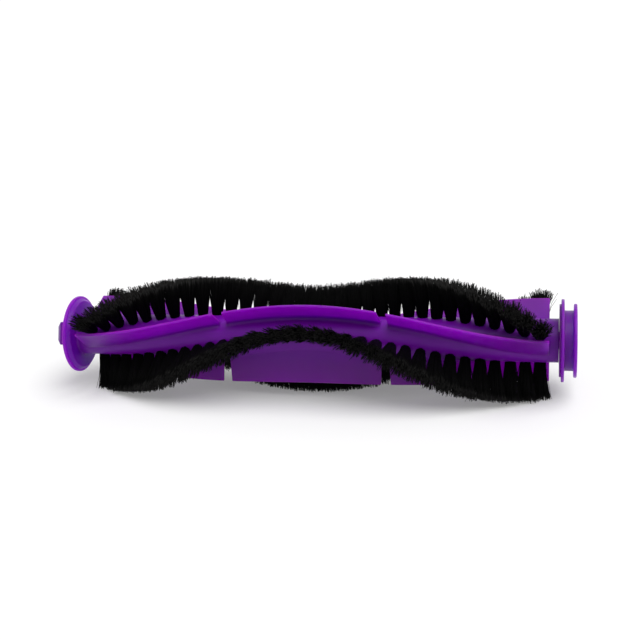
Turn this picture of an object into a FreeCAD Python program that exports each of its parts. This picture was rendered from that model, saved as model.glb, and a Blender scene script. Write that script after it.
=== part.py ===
import FreeCAD, Part
import math
import os

# Roller brush of a robot vacuum cleaner, lying on its bristles as on a table.
# The spin axis is X. The square drive nub is at the -X end, the bearing cap at the +X end.
# The origin is on the spin axis, half way between the two ends. Lengths are in millimetres.
# Angles round the axis are in degrees, counted from -Y through +Z.

# Driving dimensions along the axis, from the drive end to the bearing end
nub_length = 6.7
disc_thickness = 1.1
disc_boss_height = 1.2
drive_neck_length = 3.5
fin_length = 156.0
bearing_neck_length = 2.9
cap_gap = 0.12
retainer_thickness = 0.6
inner_flange_thickness = 0.95
groove_width = 2.9
outer_flange_thickness = 1.0

# Driving dimensions across the axis
core_radius = 7.0
nub_size = 8.0
nub_chamfer = 1.5
nub_angle = 22.5
disc_radius = 13.2
disc_boss_radius = 12.4
disc_boss_taper = 0.9
rim_rounding = 0.3
rim_rounding_limit = 0.4
retainer_radius = 11.6
inner_flange_radius = 13.2
groove_radius = 9.6
outer_flange_radius = 11.7

# Wavy fins: each wall runs along a cosine wave and points one way over its whole length
fin_count = 3
fin_tip_radius = 15.4
fin_wave = 5.6
fin_root_thickness = 1.3
fin_tip_thickness = 0.8
fin_angle = 42.0
notch_shift = -1.5
notch_offset = 27.2
notch_width = 3.2
notch_root_width = 2.4
wave_points = 25

# Bristle tufts: each row is a rounded chevron of tufts, one row to a fin
tuft_pitch = 4.7
row_margin = 2.5
tuft_hole_radius = 1.55
tuft_hole_depth = 3.6
tuft_clearance = 0.03
tuft_tip_gap = 0.1
bristle_radius = 20.0
flat_spot = 0.35
row_apex_angle = 145.8
row_sweep = 112.5
apex_rounding = 26.3

# Wire staples that hold the folded tufts down in their holes
staple_thickness = 0.35
staple_height = 1.2
staple_bite = 0.2
staple_seat = 0.5

# Steel axle and shielded ball bearing, 4 x 10 x 4
axle_radius = 2.0
axle_seat_depth = 14.0
axle_chamfer = 0.3
axle_end_gap = 0.1
bearing_outer_radius = 5.0
bearing_width = 4.0
inner_ring_radius = 2.95
outer_ring_bore_radius = 4.05
ball_count = 7
ball_radius = 0.794
race_clearance = 0.04
shield_thickness = 0.15
shield_inset = 0.1
shield_clearance = 0.1
cage_thickness = 0.6
cage_width = 2.3
pocket_clearance = 0.06
spigot_radius = 2.8
spigot_clearance = 0.4
cap_relief_radius = 3.3
cap_relief_depth = 0.25

# Stations along the axis, worked out from the lengths above
cap_width = retainer_thickness + inner_flange_thickness + groove_width + outer_flange_thickness
core_length = (nub_length + disc_thickness + disc_boss_height + drive_neck_length
               + fin_length + bearing_neck_length)
overall_length = core_length + cap_gap + cap_width
nub_end_x = -overall_length / 2
disc_outer_x = nub_end_x + nub_length
disc_inner_x = disc_outer_x + disc_thickness
disc_boss_x = disc_inner_x + disc_boss_height
fin_start_x = disc_boss_x + drive_neck_length
fin_middle_x = fin_start_x + fin_length / 2
core_end_x = fin_start_x + fin_length + bearing_neck_length
retainer_x = core_end_x + cap_gap
bearing_x = retainer_x + retainer_thickness
bearing_middle_x = bearing_x + bearing_width / 2
bearing_end_x = bearing_x + bearing_width
inner_flange_x = bearing_x + inner_flange_thickness
groove_end_x = inner_flange_x + groove_width
cap_end_x = groove_end_x + outer_flange_thickness
pitch_radius = (inner_ring_radius + outer_ring_bore_radius) / 2
race_radius = ball_radius + race_clearance
floor_z = flat_spot - bristle_radius
tuft_count = 2 * int((fin_length / 2 - row_margin) / tuft_pitch) + 1
half_row_length = tuft_pitch * (tuft_count - 1) / 2
tuft_tip_radius = (tuft_pitch - tuft_tip_gap) / 2
row_step = 360.0 / fin_count

ORIGIN = FreeCAD.Vector(0, 0, 0)
AXIS = FreeCAD.Vector(1, 0, 0)


def revolved(profile):
    """Solid of revolution about the spin axis from a list of (x, radius) corners."""
    points = [FreeCAD.Vector(x, 0, radius) for x, radius in profile]
    face = Part.Face(Part.makePolygon(points + points[:1]))
    return face.revolve(ORIGIN, AXIS, 360)


def ring(start_x, end_x, inner_radius, outer_radius):
    """Plain ring about the spin axis."""
    return revolved([(start_x, inner_radius), (end_x, inner_radius),
                     (end_x, outer_radius), (start_x, outer_radius)])


def turned(shape, angle):
    """Copy of a shape that points along +Z, turned about the spin axis to the given angle."""
    copy = shape.copy()
    copy.rotate(ORIGIN, AXIS, 90 - angle)
    return copy


def rounded_disc(start_x, end_x, radius):
    """Disc about the spin axis with its rim edges rounded, up to a share of its thickness."""
    disc = Part.makeCylinder(radius, end_x - start_x, FreeCAD.Vector(start_x, 0, 0), AXIS)
    rims = [edge for edge in disc.Edges if len(edge.Vertexes) == 1]
    return disc.makeFillet(min(rim_rounding, rim_rounding_limit * (end_x - start_x)), rims)


def drive_nub():
    """Square nub with its end edges chamfered, so that it finds its socket, turned to its angle."""
    corner = FreeCAD.Vector(nub_end_x, -nub_size / 2, -nub_size / 2)
    nub = Part.makeBox(nub_length, nub_size, nub_size, corner)
    end_edges = [edge for edge in nub.Edges if edge.BoundBox.XMax < nub_end_x + nub_length / 2]
    return turned(nub.makeChamfer(nub_chamfer, end_edges), nub_angle)


def wave_outline(thickness, height):
    """Closed outline of one wavy wall at a given height: two cosine curves and two end lines."""
    sides = []
    for side in (-1, 1):
        points = []
        for index in range(wave_points):
            share = 2 * index / (wave_points - 1) - 1
            offset = fin_wave * math.cos(math.pi * share) + side * thickness / 2
            points.append(FreeCAD.Vector(fin_middle_x + share * fin_length / 2, offset, height))
        curve = Part.BSplineCurve()
        curve.interpolate(points)
        sides.append((curve.toShape(), points))
    (low_edge, low), (high_edge, high) = sides
    start_line = Part.makeLine(low[0], high[0])
    end_line = Part.makeLine(low[-1], high[-1])
    return Part.Wire([low_edge, end_line, high_edge, start_line])


def notch(middle_x):
    """Cutter for one notch through a fin along +Z: wider at the fin's tip than at its root."""
    sides = [(notch_root_width / 2, 0), (notch_root_width / 2, core_radius),
             (notch_width / 2, fin_tip_radius)]
    outline = [(-half, height) for half, height in sides] + sides[::-1]
    points = [FreeCAD.Vector(middle_x + x, -fin_tip_radius, height) for x, height in outline]
    face = Part.Face(Part.makePolygon(points + points[:1]))
    return face.extrude(FreeCAD.Vector(0, 2 * fin_tip_radius, 0))


def fin():
    """One fin along +Z: a tapered wavy wall, trimmed round at its tip and cut by two notches."""
    wall = Part.makeLoft([wave_outline(fin_root_thickness, 0),
                          wave_outline(fin_tip_thickness, fin_tip_radius)], True, True)
    trim = Part.makeCylinder(fin_tip_radius, fin_length, FreeCAD.Vector(fin_start_x, 0, 0), AXIS)
    notches = [notch(fin_middle_x + notch_shift + side * notch_offset) for side in (-1, 1)]
    return wall.common(trim).cut(notches)


def row_angle(row, offset):
    """Angle of a tuft: greatest at the middle of its row, and falling away to both ends alike."""
    bend = math.hypot(offset, apex_rounding) - apex_rounding
    full_bend = math.hypot(half_row_length, apex_rounding) - apex_rounding
    return row_apex_angle + row * row_step - row_sweep * bend / full_bend


def along_row(shape, row):
    """Copies of a shape that points along +Z, one at each tuft of a row."""
    copies = []
    for index in range(tuft_count):
        offset = (index - (tuft_count - 1) / 2) * tuft_pitch
        copy = turned(shape, row_angle(row, offset))
        copy.translate(FreeCAD.Vector(fin_middle_x + offset, 0, 0))
        copies.append(copy)
    return copies


def tuft_hole():
    """Blind hole for one tuft, along +Z, open at the surface of the core."""
    bottom = FreeCAD.Vector(0, 0, core_radius - tuft_hole_depth)
    return Part.makeCylinder(tuft_hole_radius, tuft_hole_depth + core_radius, bottom)


def staple():
    """Flat wire staple across a tuft's foot. Its two ends bite into the wall of the hole."""
    width = 2 * (tuft_hole_radius + staple_bite)
    bottom = core_radius - tuft_hole_depth + staple_seat
    corner = FreeCAD.Vector(-width / 2, -staple_thickness / 2, bottom)
    return Part.makeBox(width, staple_thickness, staple_height, corner)


def tuft():
    """One tuft along +Z: a foot in its hole, then bristles that spread towards their tips."""
    foot_radius = tuft_hole_radius - tuft_clearance
    foot_z = core_radius - tuft_hole_depth
    profile = [(0, foot_z), (foot_radius, foot_z), (foot_radius, core_radius),
               (tuft_tip_radius, bristle_radius), (0, bristle_radius)]
    points = [FreeCAD.Vector(radius, 0, height) for radius, height in profile]
    face = Part.Face(Part.makePolygon(points + points[:1]))
    return face.revolve(ORIGIN, FreeCAD.Vector(0, 0, 1), 360).cut(staple())


def tuft_row(row):
    """A row of tufts. Where tips reach the table, the bristles are pressed flat on it."""
    below = Part.makeBox(overall_length, 4 * bristle_radius, bristle_radius,
                         FreeCAD.Vector(nub_end_x, -2 * bristle_radius, floor_z - bristle_radius))
    tufts = along_row(tuft(), row)
    return [one.cut(below) if one.BoundBox.ZMin < floor_z else one for one in tufts]


def roller_core():
    """Moulded core: drive nub, end disc, shaft, fins and spigot in one piece, with its holes."""
    shaft = revolved([(disc_outer_x, 0), (disc_outer_x, core_radius), (core_end_x, core_radius),
                      (core_end_x, spigot_radius), (bearing_x, spigot_radius), (bearing_x, 0)])
    boss = revolved([(disc_inner_x, 0), (disc_inner_x, disc_boss_radius),
                     (disc_boss_x, disc_boss_radius - disc_boss_taper), (disc_boss_x, 0)])
    pieces = [drive_nub(), rounded_disc(disc_outer_x, disc_inner_x, disc_radius), boss]
    wall = fin()
    for index in range(fin_count):
        pieces.append(turned(wall, fin_angle + index * row_step))
    body = shaft.fuse(pieces)
    axle_seat_x = core_end_x - axle_seat_depth
    cuts = [Part.makeCylinder(axle_radius, axle_seat_depth + bearing_x - core_end_x,
                              FreeCAD.Vector(axle_seat_x, 0, 0), AXIS)]
    for row in range(fin_count):
        cuts += along_row(tuft_hole(), row)
        cuts += along_row(staple(), row)
    return body.cut(cuts).removeSplitter()


def axle_pin():
    """Steel pin pressed into the core, with both ends chamfered."""
    start_x = core_end_x - axle_seat_depth
    end_x = bearing_end_x - axle_end_gap
    tip_radius = axle_radius - axle_chamfer
    return revolved([(start_x, 0), (start_x, tip_radius), (start_x + axle_chamfer, axle_radius),
                     (end_x - axle_chamfer, axle_radius), (end_x, tip_radius), (end_x, 0)])


def ball_track():
    """Torus that the balls run in, a little fatter than they are."""
    return Part.makeTorus(pitch_radius, race_radius, FreeCAD.Vector(bearing_middle_x, 0, 0), AXIS)


def balls():
    """The balls of the bearing, evenly spaced on the pitch circle."""
    return [ball_at(index, ball_radius) for index in range(ball_count)]


def ball_at(index, radius):
    """A ball on the pitch circle."""
    centre = FreeCAD.Vector(bearing_middle_x, 0, pitch_radius)
    return turned(Part.makeSphere(radius, centre), 360.0 * index / ball_count)


def bearing_cage():
    """Ring between the bearing's rings, with a round pocket for each ball."""
    start_x = bearing_middle_x - cage_width / 2
    cage = ring(start_x, start_x + cage_width,
                pitch_radius - cage_thickness / 2, pitch_radius + cage_thickness / 2)
    pocket = Part.makeCylinder(ball_radius + pocket_clearance, bearing_outer_radius,
                               FreeCAD.Vector(bearing_middle_x, 0, 0))
    return cage.cut([turned(pocket, 360.0 * index / ball_count) for index in range(ball_count)])


def shield(start_x):
    """Thin shield that closes one side of the bearing, held in the outer ring."""
    return ring(start_x, start_x + shield_thickness,
                inner_ring_radius + shield_clearance, outer_ring_bore_radius)


def bearing_cap():
    """Moulded spool that holds the bearing. Its groove drops into the slot of the brush bay."""
    spool = [rounded_disc(bearing_x, inner_flange_x, inner_flange_radius),
             rounded_disc(groove_end_x, cap_end_x, outer_flange_radius)]
    hub = Part.makeCylinder(groove_radius, cap_end_x - bearing_x,
                            FreeCAD.Vector(bearing_x, 0, 0), AXIS)
    pocket = Part.makeCylinder(bearing_outer_radius, bearing_width,
                               FreeCAD.Vector(bearing_x, 0, 0), AXIS)
    relief = Part.makeCylinder(cap_relief_radius, cap_relief_depth,
                               FreeCAD.Vector(bearing_end_x, 0, 0), AXIS)
    return hub.fuse(spool).cut([pocket, relief]).removeSplitter()


def write(name, solids):
    """Write the solids of one piece and say what they measure."""
    shape = solids[0] if len(solids) == 1 else Part.makeCompound(solids)
    shape.exportStep(os.path.join("parts", name + ".step"))
    print(name, "solids", len(shape.Solids), "valid", shape.isValid(), "volume", round(shape.Volume, 2))


os.makedirs("parts", exist_ok=True)

write("roller_core", [roller_core()])
for row in range(fin_count):
    write("bristle_row_%d" % (row + 1), tuft_row(row))
    write("tuft_staples_%d" % (row + 1), along_row(staple(), row))
write("axle_pin", [axle_pin()])
write("bearing_inner_ring", [ring(bearing_x, bearing_end_x, axle_radius,
                                  inner_ring_radius).cut(ball_track())])
write("bearing_outer_ring", [ring(bearing_x, bearing_end_x, outer_ring_bore_radius,
                                  bearing_outer_radius).cut(ball_track())])
write("bearing_balls", balls())
write("bearing_cage", [bearing_cage()])
write("bearing_shield_inner", [shield(bearing_x + shield_inset)])
write("bearing_shield_outer", [shield(bearing_end_x - shield_inset - shield_thickness)])
write("bearing_cap", [bearing_cap()])
write("cap_retainer", [ring(retainer_x, bearing_x, spigot_radius + spigot_clearance,
                            retainer_radius)])
print("overall length", overall_length, "floor", floor_z)
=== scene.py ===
# %% [markdown]
# # Roller brush of a robot vacuum
# The brush under a robot vacuum is a moulded plastic core with wavy fins and three chevron rows
# of bristle tufts. A square nub takes the drive at one end, and a grooved cap on a small ball
# bearing carries the other end. The solids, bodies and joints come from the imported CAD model,
# which is loaded first and never moved. Everything here is dressed onto that frame.

# %% Load the frame
import math

import bmesh
import bpy
import numpy as np
from mathutils import Matrix, Vector


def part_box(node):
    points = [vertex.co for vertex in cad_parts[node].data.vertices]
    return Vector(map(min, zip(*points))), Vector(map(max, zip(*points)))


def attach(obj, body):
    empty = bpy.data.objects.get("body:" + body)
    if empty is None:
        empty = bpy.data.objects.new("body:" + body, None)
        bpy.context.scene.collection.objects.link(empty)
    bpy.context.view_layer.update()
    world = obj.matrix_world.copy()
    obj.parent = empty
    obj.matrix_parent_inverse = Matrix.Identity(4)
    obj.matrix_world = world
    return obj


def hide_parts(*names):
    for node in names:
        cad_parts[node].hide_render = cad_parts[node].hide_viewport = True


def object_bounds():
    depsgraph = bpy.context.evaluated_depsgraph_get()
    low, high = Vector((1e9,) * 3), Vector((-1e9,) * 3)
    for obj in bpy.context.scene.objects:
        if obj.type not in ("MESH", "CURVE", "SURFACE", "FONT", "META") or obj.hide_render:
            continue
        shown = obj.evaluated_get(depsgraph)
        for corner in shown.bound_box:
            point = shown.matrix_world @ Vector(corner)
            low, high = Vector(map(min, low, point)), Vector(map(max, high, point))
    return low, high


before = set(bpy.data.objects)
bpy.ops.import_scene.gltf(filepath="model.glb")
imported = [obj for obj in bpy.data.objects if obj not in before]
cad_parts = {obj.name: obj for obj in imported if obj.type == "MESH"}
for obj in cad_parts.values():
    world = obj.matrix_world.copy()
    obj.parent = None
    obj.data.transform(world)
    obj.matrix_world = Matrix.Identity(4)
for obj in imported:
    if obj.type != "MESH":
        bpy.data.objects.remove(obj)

cad_low, cad_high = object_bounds()
print("CAD box", [round(side * 1000, 2) for side in cad_high - cad_low], "mm")

# %% [markdown]
# ## Sizes
# All sizes are in millimetres and are turned into metres once, when a mesh is made. The places
# along the spin axis come from the frame, so that each surface sits exactly on its solid. The
# bristle rows are as long to the left of the fins' middle as to the right, which gives that
# middle. Angles are counted round the axis from the front (-Y) over the top (+Z).

# %% Sizes shared by several pieces
MM = 0.001
core_low, core_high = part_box("roller_core")
row_low, row_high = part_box("bristle_row_1")
middle_x = (row_low.x + row_high.x) / 2 / MM
core_radius = 7.0
fin_length = 156.0
fin_count = 3
step_angle = 2 * math.pi / fin_count
print("fins' middle at x", round(middle_x, 3), "mm")

# %% [markdown]
# ## Faces of a grid
# Each new surface is a grid of points: rows along one parameter, columns along the other. The
# four neighbours of a grid cell make one face, and a direction that comes round to its start
# wraps. The sign of the enclosed volume tells whether the faces point outwards, so a surface that
# came out inside out is turned round before it becomes a mesh. Working it out beforehand is
# simpler than mending the normals of a finished mesh.

# %% Grid faces
def grid_faces(rows, columns, wrap_rows=False, wrap_columns=False):
    """Quads of a grid: point (r, c) with its next neighbours in both directions."""
    r, c = np.meshgrid(np.arange(rows if wrap_rows else rows - 1),
                       np.arange(columns if wrap_columns else columns - 1), indexing="ij")
    next_r, next_c = (r + 1) % rows, (c + 1) % columns
    quads = [r * columns + c, r * columns + next_c, next_r * columns + next_c, next_r * columns + c]
    return np.stack(quads, -1).reshape(-1, 4)


def facing_out(points, quads, tips):
    """The same faces, turned round if the volume they enclose comes out negative."""
    corners = np.concatenate([quads[:, [0, 1, 2]], quads[:, [0, 2, 3]], tips])
    a, b, c = (points[corners[:, index]] for index in range(3))
    volume = np.einsum("ij,ij->", a, np.cross(b, c))
    return (quads[:, ::-1], tips[:, ::-1]) if volume < 0 else (quads, tips)


print("a tube of 3 rings with 4 points has", len(grid_faces(3, 4, wrap_columns=True)), "faces")

# %% [markdown]
# ## From points to a piece
# Putting whole arrays into a mesh at once is far quicker than adding points one by one. A piece
# then rides on the body that carries it on the real brush, gets its material, and hides the
# solids that it is shown in place of. Its object stays at the origin, because its
# place is in its points.

# %% Mesh helpers
NO_TIPS = np.zeros((0, 3), int)
pole_merge = 0.0001


def mesh_piece(name, points, quads, body, nodes, material, tips=NO_TIPS):
    """One smooth piece from points in millimetres, quads and end triangles, on a CAD body."""
    points = points.reshape(-1, 3)
    quads, tips = facing_out(points, quads, tips)
    corners = np.concatenate([quads.ravel(), tips.ravel()]).astype(np.int32)
    starts = np.concatenate([4 * np.arange(len(quads)), quads.size + 3 * np.arange(len(tips))])
    mesh = bpy.data.meshes.new(name)
    mesh.vertices.add(len(points))
    mesh.vertices.foreach_set("co", (points * MM).ravel())
    mesh.loops.add(len(corners))
    mesh.loops.foreach_set("vertex_index", corners)
    mesh.polygons.add(len(starts))
    mesh.polygons.foreach_set("loop_start", starts.astype(np.int32))
    mesh.update(calc_edges=True)
    mesh.shade_smooth()
    mesh.materials.append(material)
    piece = bpy.data.objects.new(name, mesh)
    bpy.context.scene.collection.objects.link(piece)
    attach(piece, body)
    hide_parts(*nodes)
    print(name, len(mesh.vertices), "points", len(mesh.polygons), "faces")
    return piece


def close_poles(piece):
    """Merge the points that meet on the axis, so that each pole is one point."""
    work = bmesh.new()
    work.from_mesh(piece.data)
    bmesh.ops.remove_doubles(work, verts=work.verts, dist=pole_merge * MM)
    work.to_mesh(piece.data)
    work.free()


print("poles closer than", pole_merge, "mm are merged")

# %% [markdown]
# ## Patterns for the finishes
# No moulding, wire or filament is quite even, and a flat colour would look like paint on a screen.
# An image could bring that unevenness, but it blurs close up and has to be wrapped round the
# piece. Noise on the piece's own coordinates stays sharp at any distance and sits still when the
# piece turns. The helpers here spread such noise over a range of values, colours or heights.

# %% Pattern helpers
noise_low, noise_high = 0.3, 0.7


def noise(nodes, links, place, scale, detail=3.0):
    """A noise texture on the piece's own coordinates."""
    texture = nodes.new("ShaderNodeTexNoise")
    texture.inputs["Scale"].default_value = scale
    texture.inputs["Detail"].default_value = detail
    links.new(place.outputs["Object"], texture.inputs["Vector"])
    return texture.outputs["Fac"]


def spread(nodes, links, value, low, high):
    """A value in the range where noise mostly lies, spread evenly between low and high."""
    spreader = nodes.new("ShaderNodeMapRange")
    spreader.inputs["From Min"].default_value = noise_low
    spreader.inputs["From Max"].default_value = noise_high
    spreader.inputs["To Min"].default_value = low
    spreader.inputs["To Max"].default_value = high
    links.new(value, spreader.inputs["Value"])
    return spreader.outputs["Result"]


def blend_of(nodes, links, value, first, second, start=noise_low):
    """A colour that goes from first to second as a value goes from start to noise_high."""
    ramp = nodes.new("ShaderNodeValToRGB")
    ramp.color_ramp.elements[0].position = start
    ramp.color_ramp.elements[1].position = noise_high
    ramp.color_ramp.elements[0].color = (*first, 1)
    ramp.color_ramp.elements[1].color = (*second, 1)
    links.new(value, ramp.inputs["Fac"])
    return ramp.outputs["Color"]


def raised(nodes, links, value, height):
    """A normal from a height pattern, with the height in metres."""
    bump = nodes.new("ShaderNodeBump")
    bump.inputs["Strength"].default_value = 1.0
    bump.inputs["Distance"].default_value = height
    links.new(value, bump.inputs["Height"])
    return bump.outputs["Normal"]


def new_material(name):
    """A material with its nodes, links, shader and coordinates at hand."""
    material = bpy.data.materials.new(name)
    material.use_nodes = True
    nodes, links = material.node_tree.nodes, material.node_tree.links
    return material, nodes, links, nodes["Principled BSDF"], nodes.new("ShaderNodeTexCoord")


print("noise is spread from", noise_low, "to", noise_high)

# %% [markdown]
# ## Purple moulded plastic
# The core and the cap are injection moulded in one deep purple. Such plastic is even in colour,
# but flow in the mould leaves faint clouds, and the steel of the mould prints a very fine texture
# that breaks up the reflections. So noise varies the colour a little, the roughness more, and
# lifts the surface by a hair.
#
# The plastic also lets some light in. In the thick shaft it is lost, but through a thin fin it
# comes out again on the other side, and the fin glows in a fuller purple than the shaft. A second
# colour for the fins would look painted, so the shader scatters light inside the plastic where
# the walls are thin: nowhere under the shaft's surface, and fully a little way above it.

# %% Purple plastic
dark_purple, bright_purple = (0.138, 0.0016, 0.305), (0.158, 0.0022, 0.340)
cloud_scale, gloss_scale, grain_scale, grain_detail = 90, 260, 5200, 2.0
plastic_smooth, plastic_rough, plastic_shine = 0.30, 0.42, 0.2
grain_height = 0.0015
light_reach, light_reach_size = (1.3, 0.05, 1.7), 6.0
thick_radius, thin_radius = core_radius - 0.8, core_radius + 1.7


def thin_walls(nodes, links, place):
    """0 on the shaft and 1 on the fins and rims: a ramp on the distance from the spin axis, which
    is the length of the place without its part along the axis."""
    across = nodes.new("ShaderNodeVectorMath")
    across.operation = "MULTIPLY"
    across.inputs[1].default_value = (0, 1, 1)
    links.new(place.outputs["Object"], across.inputs[0])
    distance = nodes.new("ShaderNodeVectorMath")
    distance.operation = "LENGTH"
    links.new(across.outputs["Vector"], distance.inputs[0])
    thin = nodes.new("ShaderNodeMapRange")
    thin.inputs["From Min"].default_value = thick_radius * MM
    thin.inputs["From Max"].default_value = thin_radius * MM
    links.new(distance.outputs["Value"], thin.inputs["Value"])
    return thin.outputs["Result"]


def purple_plastic():
    """Deep purple plastic: faint clouds, uneven gloss, a mould's fine texture, glowing walls."""
    material, nodes, links, shader, place = new_material("purple_plastic")
    clouds = noise(nodes, links, place, cloud_scale)
    links.new(blend_of(nodes, links, clouds, dark_purple, bright_purple),
              shader.inputs["Base Color"])
    gloss = noise(nodes, links, place, gloss_scale)
    links.new(spread(nodes, links, gloss, plastic_smooth, plastic_rough),
              shader.inputs["Roughness"])
    grain = noise(nodes, links, place, grain_scale, grain_detail)
    links.new(raised(nodes, links, grain, grain_height * MM), shader.inputs["Normal"])
    shader.inputs["Specular IOR Level"].default_value = plastic_shine
    shader.inputs["Subsurface Radius"].default_value = light_reach
    shader.inputs["Subsurface Scale"].default_value = light_reach_size * MM
    links.new(thin_walls(nodes, links, place), shader.inputs["Subsurface Weight"])
    return material


purple = purple_plastic()
print("material", purple.name)

# %% [markdown]
# ## Black nylon
# The bristles are drawn nylon, coloured black all through. Seen from the side a filament is almost
# black with a dull shine, but the cut at its tip is rough and catches the light, so a brush looks
# greyer from the tips than from the flank. Each point of a bristle carries its own shade in an
# attribute, which the material reads. A pattern in space could not tell one tip from the next.

# %% Nylon
nylon_flank, nylon_tip, tip_start = (0.0024, 0.0024, 0.0025), (0.030, 0.0294, 0.0288), 0.5
nylon_scuff_scale, nylon_smooth, nylon_rough, nylon_shine = 1500, 0.48, 0.64, 0.04


def black_nylon():
    """Black filament that turns paler at its cut tip, after the bristle's own attribute."""
    material, nodes, links, shader, place = new_material("black_nylon")
    shade = nodes.new("ShaderNodeAttribute")
    shade.attribute_name = "bristle_shade"
    links.new(blend_of(nodes, links, shade.outputs["Fac"], nylon_flank, nylon_tip, tip_start),
              shader.inputs["Base Color"])
    scuff = noise(nodes, links, place, nylon_scuff_scale)
    links.new(spread(nodes, links, scuff, nylon_smooth, nylon_rough), shader.inputs["Roughness"])
    shader.inputs["Specular IOR Level"].default_value = nylon_shine
    return material


nylon = black_nylon()
print("material", nylon.name)

# %% [markdown]
# ## Steel
# The axle, the staples and the bearing are steel. They are inside the brush, and still get a metal
# with fine wear in its roughness, because a part can be opened or cut for a drawing. Drawn wire is
# the dullest and the bearing's races are the brightest, so one recipe serves for all, with other
# tints and another polish each time. The solids themselves are shown, only their finish is new.

# %% Steel
tint_scale, polish_scale = 400, 2400


def steel(name, dark, bright, smooth, rough):
    """Bare steel with a cloudy tint and uneven polish."""
    material, nodes, links, shader, place = new_material(name)
    tint = noise(nodes, links, place, tint_scale)
    links.new(blend_of(nodes, links, tint, dark, bright), shader.inputs["Base Color"])
    polish = noise(nodes, links, place, polish_scale)
    links.new(spread(nodes, links, polish, smooth, rough), shader.inputs["Roughness"])
    shader.inputs["Metallic"].default_value = 1.0
    return material


drawn_wire = steel("drawn_wire", (0.30, 0.30, 0.32), (0.40, 0.40, 0.42), 0.30, 0.45)
ground_steel = steel("ground_steel", (0.40, 0.40, 0.42), (0.50, 0.50, 0.52), 0.22, 0.34)
bearing_steel = steel("bearing_steel", (0.50, 0.50, 0.52), (0.58, 0.58, 0.60), 0.08, 0.16)
pressed_steel = steel("pressed_steel", (0.42, 0.42, 0.43), (0.50, 0.50, 0.51), 0.26, 0.40)
node_materials = {"tuft_staples_1": drawn_wire, "tuft_staples_2": drawn_wire,
                  "tuft_staples_3": drawn_wire, "axle_pin": ground_steel,
                  "bearing_inner_ring": bearing_steel, "bearing_outer_ring": bearing_steel,
                  "bearing_balls": bearing_steel, "bearing_cage": pressed_steel,
                  "bearing_shield_inner": pressed_steel, "bearing_shield_outer": pressed_steel}
for node_name, material in node_materials.items():
    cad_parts[node_name].data.materials.clear()
    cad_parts[node_name].data.materials.append(material)
print("steel on", len(node_materials), "CAD nodes")

# %% [markdown]
# ## Turning a profile
# Everything round the spin axis is a profile swung round it. A lathe operator thinks the same way.
# The solids have mostly sharp corners, but a moulding never has: a small radius at each edge
# catches a thin line of light, and that line is what makes plastic look like plastic. A Bevel
# modifier could round the finished piece, but arcs in the profile give each corner its own radius.

# %% Profile helpers
def rounded(outline, closed, steps=5):
    """Outline of (x, radius) corners with arcs in place of the corners.
    Each corner gives its rounding. The arc's centre lies on the corner's bisector, and the arc
    runs between the points where it touches the two sides."""
    outline = np.array(outline, float)
    spots, size = outline[:, :2], outline[:, 2:]
    back = np.roll(spots, 1, 0) - spots
    ahead = np.roll(spots, -1, 0) - spots
    back /= np.linalg.norm(back, axis=1, keepdims=True)
    ahead /= np.linalg.norm(ahead, axis=1, keepdims=True)
    half = np.arccos(np.clip((back * ahead).sum(1, keepdims=True), -1, 1)) / 2
    inward = (back + ahead) / np.linalg.norm(back + ahead, axis=1, keepdims=True)
    centre = spots + inward * size / np.sin(half)
    first = spots + back * size / np.tan(half) - centre
    last = spots + ahead * size / np.tan(half) - centre
    sweep = (math.pi - 2 * half)[:, None]
    share = np.linspace(0, 1, steps)[None, :, None]
    arcs = centre[:, None] + (np.sin((1 - share) * sweep) * first[:, None]
                              + np.sin(share * sweep) * last[:, None]) / np.sin(sweep)
    if closed:
        return arcs.reshape(-1, 2)
    return np.concatenate([spots[:1], arcs[1:-1].reshape(-1, 2), spots[-1:]])


def turned(profile, sides):
    """Point (x, radius) of a profile at angle a goes to (x, -radius cos a, radius sin a)."""
    angle = np.linspace(0, 2 * math.pi, sides, endpoint=False)[None]
    x, radius = profile[:, :1], profile[:, 1:]
    return np.stack([x + 0 * angle, -radius * np.cos(angle), radius * np.sin(angle)], -1)


def turned_piece(name, outline, closed, body, nodes, sides=144):
    """A purple piece turned about the spin axis from an outline of corners."""
    profile = rounded(outline, closed)
    faces = grid_faces(len(profile), sides, closed, True)
    piece = mesh_piece(name, turned(profile, sides), faces, body, nodes, purple)
    close_poles(piece)
    piece.modifiers.new("even_normals", "WEIGHTED_NORMAL")
    return piece


small, rim, root = 0.08, 0.3, 0.6
print("corners are rounded by", small, rim, "or", root, "mm")

# %% [markdown]
# ## Shaft and end disc
# The shaft carries the fins and the tufts. A disc with a raised step keeps hair from creeping off
# the drive end, and at the other end a hollow spigot holds the axle. All of that is one outline,
# from the disc's middle round the outside to the bottom of the axle's hole. One closed surface
# has no seams to hide, as the real moulding has none.

# %% Shaft and disc
nub_length, disc_thickness, boss_height = 6.7, 1.1, 1.2
disc_radius, boss_radius, boss_taper = 13.2, 12.4, 0.9
spigot_radius, axle_radius, axle_seat, cap_gap = 2.8, 2.0, 14.0, 0.12
ring_low, ring_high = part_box("cap_retainer")
disc_x = core_low.x / MM + nub_length
disc_inner_x = disc_x + disc_thickness
boss_x = disc_inner_x + boss_height
bearing_x = core_high.x / MM
shaft_end_x = ring_low.x / MM - cap_gap
shaft = [(disc_x, 0, 0), (disc_x, disc_radius, rim), (disc_inner_x, disc_radius, rim),
         (disc_inner_x, boss_radius, small), (boss_x, boss_radius - boss_taper, rim),
         (boss_x, core_radius, root), (shaft_end_x, core_radius, small),
         (shaft_end_x, spigot_radius, small), (bearing_x, spigot_radius, small),
         (bearing_x, axle_radius, small), (shaft_end_x - axle_seat, axle_radius, small),
         (shaft_end_x - axle_seat, 0, 0)]
turned_piece("shaft_and_disc", shaft, False, "roller", ["roller_core"])

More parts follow.
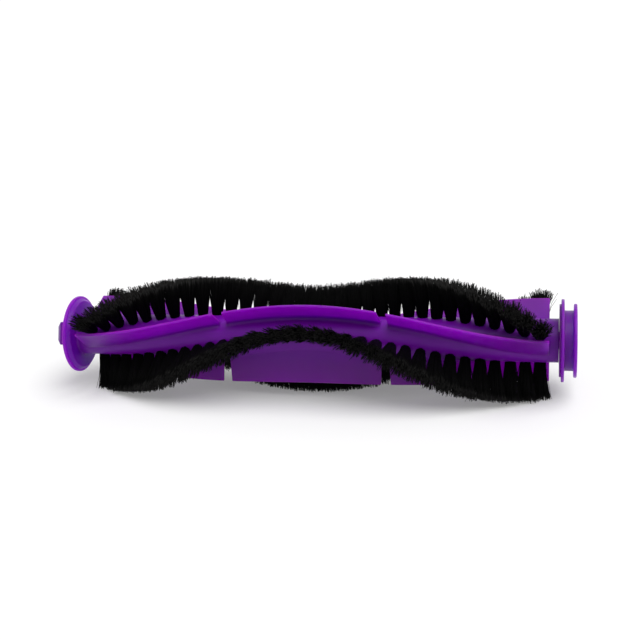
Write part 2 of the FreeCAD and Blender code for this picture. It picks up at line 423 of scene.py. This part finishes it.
# %% [markdown]
# ## The grooved cap
# The cap is a spool: two flanges with a groove between them. The groove drops into a slot in the
# vacuum's housing and stands still there, while the brush turns in the bearing inside. The step
# ring on its inner side closes the bearing's pocket. Both are turned like the shaft, but they
# ride on the cap's body, so that they stay behind when the brush is turned.

# %% Cap and retainer
inner_flange, groove_width, groove_rounding = 0.95, 2.9, 0.25
flange_radius, groove_radius, outer_flange_radius = 13.2, 9.6, 11.7
bearing_radius, bearing_width, relief_radius, relief_depth = 5.0, 4.0, 3.3, 0.25
cap_low, cap_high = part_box("bearing_cap")
cap_x, cap_end_x = cap_low.x / MM, cap_high.x / MM
pocket_end_x = cap_x + bearing_width
relief_x = pocket_end_x + relief_depth
groove_x = cap_x + inner_flange
groove_end_x = groove_x + groove_width
pocket = [(relief_x, 0, 0), (relief_x, relief_radius, small),
          (pocket_end_x, relief_radius, small), (pocket_end_x, bearing_radius, small)]
spool = [(cap_x, bearing_radius, small), (cap_x, flange_radius, rim),
         (groove_x, flange_radius, rim), (groove_x, groove_radius, groove_rounding),
         (groove_end_x, groove_radius, groove_rounding), (groove_end_x, outer_flange_radius, rim),
         (cap_end_x, outer_flange_radius, rim), (cap_end_x, 0, 0)]
turned_piece("cap_spool", pocket + spool, False, "cap", ["bearing_cap"])

retainer_bore, retainer_radius, retainer_rounding = 3.2, 11.6, 0.15
ring_x, ring_end_x = ring_low.x / MM, ring_high.x / MM
retainer = [(ring_x, retainer_bore, small), (ring_x, retainer_radius, retainer_rounding),
            (ring_end_x, retainer_radius, small), (ring_end_x, retainer_bore, small)]
turned_piece("retainer_ring", retainer, True, "cap", ["cap_retainer"])

# %% [markdown]
# ## Drive nub
# The nub is a square peg with its end bevelled all round, so that it finds its socket in the
# dark. It could be a cube with its corners cut, but then its four long edges would stay sharp. So
# it is a rounded square carried along the axis: full size at the disc, smaller at the end. A Bevel
# modifier softens what is left sharp.

# %% Nub
def square_sections(stations, corner, angle_round, steps=4):
    """Rounded squares along the axis, turned round it. Each station gives x and half the side; a
    point of the outline is the corner's centre plus an arc, taken round the corners in turn."""
    turn = np.linspace(0, math.pi / 2, steps)
    angle = (np.arange(4)[:, None] * math.pi / 2 + turn).ravel()
    quarter = np.repeat(np.arange(4) * math.pi / 2 + math.pi / 4, steps)
    sign_y, sign_z = np.sign(np.cos(quarter)), np.sign(np.sin(quarter))
    x, half = np.array(stations, float).T[:, :, None]
    inset = np.minimum(corner, half)
    wide = sign_y * (half - inset) + inset * np.cos(angle)
    high = sign_z * (half - inset) + inset * np.sin(angle)
    c, s = math.cos(angle_round), math.sin(angle_round)
    return np.stack([x + 0 * wide, s * high - c * wide, c * high + s * wide], -1)


def soften(piece, width, angle=35, segments=3):
    """Round the edges that are sharper than an angle, and keep the flats flat."""
    bevel = piece.modifiers.new("soft_edges", "BEVEL")
    bevel.width = width * MM
    bevel.segments = segments
    bevel.limit_method = "ANGLE"
    bevel.angle_limit = math.radians(angle)
    bevel.harden_normals = True


nub_size, nub_chamfer, nub_angle = 8.0, 1.5, math.radians(22.5)
nub_corner, nub_rounding = 0.35, 0.2
nub_x = core_low.x / MM
nub_root_x = disc_x + disc_thickness / 2
stations = [(nub_x, 0), (nub_x, nub_size / 2 - nub_chamfer), (nub_x + nub_chamfer, nub_size / 2),
            (nub_root_x, nub_size / 2), (nub_root_x, 0)]
sections = square_sections(stations, nub_corner, nub_angle)
nub = mesh_piece("drive_nub", sections, grid_faces(*sections.shape[:2], False, True), "roller",
                 ["roller_core"], purple)
close_poles(nub)
soften(nub, nub_rounding)

# %% [markdown]
# ## The side of a fin
# Each fin is a thin wall that runs along a cosine wave from end to end and stands in one
# direction, so that the mould can open. Its top is trimmed round the axis. A fillet widens its
# foot where it meets the shaft, as a moulder would ask for, because a sharp inner corner cracks.
# A boolean union would join wall and shaft in one mesh, but it leaves no room for that fillet, so
# the profile itself holds it: out of the shaft, round the arc and up the wall.

# %% Side of a fin
fin_tip_radius, fin_wave = 15.4, 5.6
fin_foot, fin_top = 1.3, 0.8
fin_fillet, skirt_width, skirt_sunk, foot_sunk = 1.3, 1.0, 0.1, 1.0
skirt_steps, fillet_steps, wall_steps = 2, 8, 13


def half_width(height):
    """Half of a wall's thickness, which falls evenly with the height above the spin axis."""
    return fin_foot / 2 + (fin_top - fin_foot) / 2 * height / fin_tip_radius


def fin_side(along, side):
    """One side of a wall from root to top: offset across the wall and height, at each place along.
    The wall's middle is at fin_wave * cos(pi * along). The fillet is an arc whose centre lies one
    radius off the wall and off the shaft. Its angle goes from that of the centre, seen from the
    axis, to square across the wall. Two more points under the shaft's surface close the foot out
    of sight."""
    middle = fin_wave * np.cos(math.pi * along)
    reach = core_radius + fin_fillet
    level = np.sqrt(reach ** 2 - (middle + side * (fin_foot / 2 + fin_fillet)) ** 2)
    centre = middle + side * (half_width(level) + fin_fillet)
    level = np.sqrt(reach ** 2 - centre ** 2)
    lean = np.arctan2(centre, level)
    hidden = lean[:, :skirt_steps] + side * skirt_width / core_radius
    depth = core_radius - np.array([foot_sunk, skirt_sunk])
    arc = slice(skirt_steps, skirt_steps + fillet_steps)
    bend = lean[:, arc] + (side * math.pi / 2 - lean[:, arc]) * np.linspace(0, 1, fillet_steps)
    wall = slice(skirt_steps + fillet_steps, None)
    high = np.sqrt(fin_tip_radius ** 2 - (middle[:, wall] + side * fin_top / 2) ** 2)
    rise = np.linspace(0, 1, wall_steps + 1)[1:]
    height = level[:, wall] + (high - level[:, wall]) * rise
    offsets = [depth * np.sin(hidden), centre[:, arc] - fin_fillet * np.sin(bend),
               middle[:, wall] + side * half_width(height)]
    heights = [depth * np.cos(hidden), level[:, arc] - fin_fillet * np.cos(bend), height]
    return np.concatenate(offsets, 1), np.concatenate(heights, 1)


side_offset, side_height = fin_side(np.zeros((1, skirt_steps + fillet_steps + wall_steps)), 1)
print("a fin's side has", side_offset.size, "points, up to", round(side_height.max(), 2), "mm")

# %% [markdown]
# ## Wavy fins
# Two notches in each fin let the vacuum's comb ribs through, and their ends lean, so that hair
# slides out of them. So a fin is three stretches of wall. Each stretch goes up one side, over the
# top and down the other, with a flat end at each notch. The alternative, cutting the notches out
# of a whole fin, would leave long thin triangles along the cuts. A small bevel on the top edges
# gives the bright lines seen on the real part.

# %% Fins
fin_angle, fin_rounding = math.radians(42), 0.22
notch_shift, notch_offset, notch_width, notch_root_width = -1.5, 27.2, 3.2, 2.4


def fin_spans(width):
    """Start and end of the three stretches between notches of a width, as shares of half a fin."""
    left, right = notch_shift - notch_offset, notch_shift + notch_offset
    ends = [-fin_length / 2, left - width / 2, left + width / 2,
            right - width / 2, right + width / 2, fin_length / 2]
    return np.reshape(ends, (3, 2)) / (fin_length / 2)


def fin_stretch(root_span, tip_span, direction, points_along=64):
    """One stretch of a fin, as points and closed faces. Its two ends lean from their places at
    the root to those at the tip, in step with the share of the height."""
    share = np.concatenate([np.zeros(skirt_steps + fillet_steps),
                            np.linspace(0, 1, wall_steps + 1)[1:]])
    start, end = (root + (tip - root) * share for root, tip in zip(root_span, tip_span))
    along = start + (end - start) * np.linspace(0, 1, points_along)[:, None]
    up_offset, up_height = fin_side(along, -1)
    down_offset, down_height = fin_side(along, 1)
    offset = np.concatenate([up_offset, down_offset[:, ::-1]], 1)
    height = np.concatenate([up_height, down_height[:, ::-1]], 1)
    along = np.concatenate([along, along[:, ::-1]], 1)
    out = np.array([0, -math.cos(direction), math.sin(direction)])
    across = np.array([0, math.sin(direction), math.cos(direction)])
    points = offset[..., None] * across + height[..., None] * out
    points[..., 0] += middle_x + along * fin_length / 2
    rows, columns = offset.shape
    sides = grid_faces(rows, columns, False, True)
    left = np.arange(columns // 2 - 1)
    cap = np.stack([left, left + 1, columns - 2 - left, columns - 1 - left], -1)
    far_cap = cap[:, ::-1] + (rows - 1) * columns
    return points.reshape(-1, 3), np.concatenate([sides, cap[:, ::-1], far_cap[:, ::-1]])


for index in range(fin_count):
    made, faces, first = [], [], 0
    for root_span, tip_span in zip(fin_spans(notch_root_width), fin_spans(notch_width)):
        points, quads = fin_stretch(root_span, tip_span, fin_angle + index * step_angle)
        made.append(points)
        faces.append(facing_out(points, quads, NO_TIPS)[0] + first)
        first += len(points)
    fin = mesh_piece("fin_%d" % (index + 1), np.concatenate(made), np.concatenate(faces), "roller",
                     ["roller_core"], purple)
    soften(fin, fin_rounding)

# %% [markdown]
# ## Where the tufts stand
# The tufts of a row stand at an even pitch along the shaft, and the row winds round it: forwards
# to the middle and back again. Such a chevron sweeps dirt from both ends towards the suction
# mouth. A plain V would have a kink that no row of drilled holes has, so the line is a hyperbola,
# which is straight far out and round at its apex.

# %% Tuft places
tuft_count, tuft_pitch = 33, 4.7
row_apex, row_sweep = math.radians(145.8), math.radians(112.5)
apex_rounding = 26.3


def tuft_places(row):
    """Place along the axis and angle round it of each tuft: the angle follows a hyperbola
    sqrt(offset^2 + rounding^2), scaled so that the ends reach the full sweep."""
    offset = (np.arange(tuft_count) - (tuft_count - 1) / 2) * tuft_pitch
    bend = np.hypot(offset, apex_rounding) - apex_rounding
    return middle_x + offset, row_apex + row * step_angle - row_sweep * bend / bend.max()


print("a row is", round(np.ptp(tuft_places(0)[0]), 1), "mm long from first to last tuft")

# %% [markdown]
# ## The way of each bristle
# A tuft is a bundle of nylon filaments, folded over a wire staple and punched into a hole. The
# filaments stand close together at the hole and fan out towards their tips, where the whole row
# is trimmed to one circle. A block would show none of that, and a hair system is lost when the
# model is exported, so every filament is worked out here. Filaments cling together in small
# clumps, no two lean or bend alike, and a few stray out of line, mostly at a row's ends.

# %% Bristle paths
rng = np.random.default_rng(20)
clumps_per_tuft, bristles_per_clump = 140, 3
ring_share = np.array([0, 0.7, 1])
rings = len(ring_share)
golden_angle = math.pi * (3 - math.sqrt(5))
tuft_radius, tip_along, tip_across, root_depth = 1.45, 3.9, 3.1, 0.8
root_scatter, clump_scatter, tip_scatter, tuft_lean = 0.1, 0.25, 0.16, 0.3
stray_share, end_stray_share, stray_scatter = 0.03, 0.05, [1.0, 0.4]
end_splay, end_power = -0.4, 9
bristle_radius, trimmed_off, uneven_trim, longest_excess = 20.0, 0.3, 0.2, 0.9
bend_least, bend_most = 1.0, 2.2


def bristle_paths():
    """Places (offset along the axis, offset round it) and heights of every ring of every bristle.
    Clumps fill the tuft's hole evenly, clump k at the golden angle times k and at the square root
    of its share of the radius. They spread to the tip circle, each with its own lean and length.
    The bristles of a clump start a little apart and come together at their tips. In between, the
    spread grows with the height to a power that each bristle has for itself."""
    clumps = (tuft_count, clumps_per_tuft, 1)
    each = (tuft_count, clumps_per_tuft, bristles_per_clump)
    order = np.arange(clumps_per_tuft)[:, None]
    reach = np.sqrt((order + rng.random(clumps)) / clumps_per_tuft)
    heading = golden_angle * order + 2 * math.pi * rng.random((tuft_count, 1, 1))
    middle = reach[..., None] * np.stack([np.cos(heading), np.sin(heading)], -1)
    root = middle * tuft_radius + rng.normal(0, root_scatter, (*each, 2))
    clump_tip = middle * [tip_along, tip_across] + rng.normal(0, clump_scatter, (*clumps, 2))
    place = np.linspace(-1, 1, tuft_count)[:, None, None]
    stray = rng.random(each) < stray_share + end_stray_share * np.abs(place) ** end_power
    loose = np.where(stray[..., None], stray_scatter, tip_scatter)
    tip = clump_tip + loose * rng.normal(0, 1, (*each, 2))
    tip[..., 0] += end_splay * place ** end_power + rng.normal(0, tuft_lean, (tuft_count, 1, 1))
    excess = np.minimum(rng.gumbel(0, uneven_trim, clumps), longest_excess)
    length = bristle_radius - trimmed_off + excess - np.abs(rng.normal(0, uneven_trim, each))
    foot = core_radius - root_depth
    bend = rng.uniform(bend_least, bend_most, (*each, 1, 1))
    offset = root[..., None, :] + (tip - root)[..., None, :] * ring_share[:, None] ** bend
    top = np.sqrt(length ** 2 - tip[..., 1] ** 2)
    height = foot + (top - foot)[..., None] * ring_share
    return offset.reshape(tuft_count, -1, rings, 2), height.reshape(tuft_count, -1, rings)


print("bristles in a tuft", clumps_per_tuft * bristles_per_clump)

# %% [markdown]
# ## Bristle rows
# A bristle is so thin that a three-sided rod with one bend is round enough, and thousands of them
# stay light. It thins a little towards its tip. The tips on the table bend aside instead of
# passing through it, as the weight of the brush makes them do. Only the last ring of each rod gets
# the pale shade of a cut tip, in its own measure, and the shade fades out along the rod.

# %% Bristle rows
bristle_thickness, tip_taper, sides = 0.19, 0.3, 3
floor_z = cad_low.z / MM
floor_gap, floor_give = 0.02, 0.02
flank_shade, tip_shade, least_pale = 0.3, 0.4, 0.6


def bristle_row(row):
    """All bristles of a row as points of three-sided rods that thin towards their tips. What would
    reach under the floor is pressed flat just above it."""
    x, angle = tuft_places(row)
    offset, height = bristle_paths()
    around = np.arange(sides) * 2 * math.pi / sides
    thickness = bristle_thickness / 2 * (1 - tip_taper * ring_share)[:, None]
    along = x[:, None, None, None] + offset[..., :1] + thickness * np.cos(around)
    across = offset[..., 1:] + thickness * np.sin(around)
    height = height[..., None] + 0 * across
    c, s = np.cos(angle)[:, None, None, None], np.sin(angle)[:, None, None, None]
    y = -c * height + s * across
    z = s * height + c * across
    lowest = floor_z + floor_gap
    z = np.where(z < lowest, lowest + floor_give * (lowest - z), z)
    return np.stack([along, y, z], -1)


def rod_faces(count):
    """Faces of many rods: quads between the rings, and a triangle on each root and tip."""
    first = (np.arange(count) * rings * sides)[:, None, None]
    last = (rings - 1) * sides
    walls = grid_faces(rings, sides, False, True)
    ends = np.array([[2, 1, 0], [last, last + 1, last + 2]])
    return (walls + first).reshape(-1, 4), (ends + first).reshape(-1, 3)


bristle_count = tuft_count * clumps_per_tuft * bristles_per_clump
for row in range(fin_count):
    points = bristle_row(row)
    walls, ends = rod_faces(bristle_count)
    piece = mesh_piece("bristles_%d" % (row + 1), points, walls, "roller",
                       ["bristle_row_%d" % (row + 1)], nylon, ends)
    pale = (least_pale + (1 - least_pale) * rng.random((bristle_count, 1))) * (ring_share == 1)
    shade = np.repeat(flank_shade + tip_shade * pale, sides).astype(np.float32)
    piece.data.attributes.new("bristle_shade", "FLOAT", "POINT").data.foreach_set("value", shade)

# %% [markdown]
# ## Floor
# The brush lies on a plain pale floor that keeps its soft shadow, which shows where the bristles
# rest. To stand free as in a catalogue picture, the floor has to come out white. More lamps would
# bleach the brush as well, so the floor glows a little instead, and only to the eye: straight, or
# by way of a mirror or glass. Its glow lights nothing.

# %% Floor
scene = bpy.context.scene
scene.view_settings.view_transform = "Standard"
floor_size, floor_glow, floor_rough, floor_cloud_scale = 8.0, 0.2, 0.8, 6
floor_dark, floor_bright = (0.79, 0.79, 0.79), (0.81, 0.81, 0.81)


def looked_at(nodes, links):
    """1 on the rays of the eye, straight or by way of a mirror or glass, and 0 on all others."""
    path = nodes.new("ShaderNodeLightPath")
    seen = nodes.new("ShaderNodeMath")
    seen.operation = "MAXIMUM"
    links.new(path.outputs["Is Camera Ray"], seen.inputs[0])
    links.new(path.outputs["Is Glossy Ray"], seen.inputs[1])
    through = nodes.new("ShaderNodeMath")
    through.operation = "MAXIMUM"
    links.new(seen.outputs[0], through.inputs[0])
    links.new(path.outputs["Is Transmission Ray"], through.inputs[1])
    return through.outputs[0]


def pale_floor():
    """A large flat square under the bristle tips."""
    half = floor_size / 2
    corners = [(-half, -half), (half, -half), (half, half), (-half, half)]
    mesh = bpy.data.meshes.new("floor")
    mesh.from_pydata([(x, y, cad_low.z) for x, y in corners], [], [(0, 1, 2, 3)])
    material, nodes, links, shader, place = new_material("pale_floor")
    clouds = noise(nodes, links, place, floor_cloud_scale)
    links.new(blend_of(nodes, links, clouds, floor_dark, floor_bright),
              shader.inputs["Base Color"])
    shader.inputs["Roughness"].default_value = floor_rough
    shader.inputs["Specular IOR Level"].default_value = 0.0
    shader.inputs["Emission Color"].default_value = (1, 1, 1, 1)
    glow = nodes.new("ShaderNodeMapRange")
    glow.inputs["To Max"].default_value = floor_glow
    links.new(looked_at(nodes, links), glow.inputs["Value"])
    links.new(glow.outputs["Result"], shader.inputs["Emission Strength"])
    mesh.materials.append(material)
    floor = bpy.data.objects.new("floor", mesh)
    scene.collection.objects.link(floor)


pale_floor()
print("floor of", floor_size, "m at z", round(floor_z, 2), "mm")

# %% [markdown]
# ## Room and lamp
# A studio for small goods is a white tent with a wide lamp over it. The tent is the world: an even
# light from all round, and plain white where it is looked at. The lamp is a sun with a very wide
# angle, which gives the same soft light all over the brush. An area lamp close by would do too,
# but its light falls off from one end of the brush to the other.

# %% Room and lamp
room_level, lamp_level, lamp_angle = 0.45, 2.25, math.radians(50)
lamp_towards = Vector((0.42, -0.33, 1.0))


def bright_room():
    """Even light from all round, which shows as plain white where it is looked at."""
    world = bpy.data.worlds.new("room")
    scene.world = world
    world.use_nodes = True
    nodes, links = world.node_tree.nodes, world.node_tree.links
    background = nodes["Background"]
    background.inputs["Color"].default_value = (1, 1, 1, 1)
    level = nodes.new("ShaderNodeMapRange")
    level.inputs["To Min"].default_value = room_level
    links.new(looked_at(nodes, links), level.inputs["Value"])
    links.new(level.outputs["Result"], background.inputs["Strength"])


def wide_lamp():
    """A wide soft lamp overhead, a little in front and to the right."""
    light = bpy.data.lights.new("overhead", "SUN")
    light.energy = lamp_level
    light.angle = lamp_angle
    lamp = bpy.data.objects.new("overhead", light)
    lamp.rotation_mode = "QUATERNION"
    lamp.rotation_quaternion = lamp_towards.to_track_quat("Z", "Y")
    scene.collection.objects.link(lamp)


bright_room()
wide_lamp()
print("room at", room_level, "and lamp at", lamp_level)

# %% [markdown]
# ## Camera
# The photograph looks at the brush from the front and a little from the right. Its camera was
# found by fitting a pinhole to points that show both in the picture and in the solids: how far
# away it is, how it is turned, and how long its lens is. The brush is rolled a little on the table
# compared with the picture, and the camera is swung round the spin axis by the same angle, so the
# view is the same.

# %% Camera
swing = math.radians(22.5)
camera_distance, camera_offset = 337.18, 78.99
yaw, pitch, roll = (math.radians(angle) for angle in (12.68, 0.945, -0.84))
lens_length, sensor_width, nearest = 58.215, 36.0, 10.0

camera = bpy.data.objects.new("camera", bpy.data.cameras.new("camera"))
camera.data.sensor_width = sensor_width
camera.data.lens = lens_length
camera.data.clip_start = nearest * MM
turn = (Matrix.Rotation(-swing, 3, "X") @ Matrix.Rotation(yaw, 3, "Z")
        @ Matrix.Rotation(pitch, 3, "X") @ Matrix.Rotation(roll, 3, "Y"))
right, forward, up = turn.col
axes = Matrix((right, up, -forward)).transposed()
place = Vector((middle_x + camera_offset, -camera_distance * math.cos(swing),
                camera_distance * math.sin(swing))) * MM
camera.matrix_world = Matrix.Translation(place) @ axes.to_4x4()
scene.collection.objects.link(camera)
scene.camera = camera
print("camera at", [round(value, 4) for value in place])
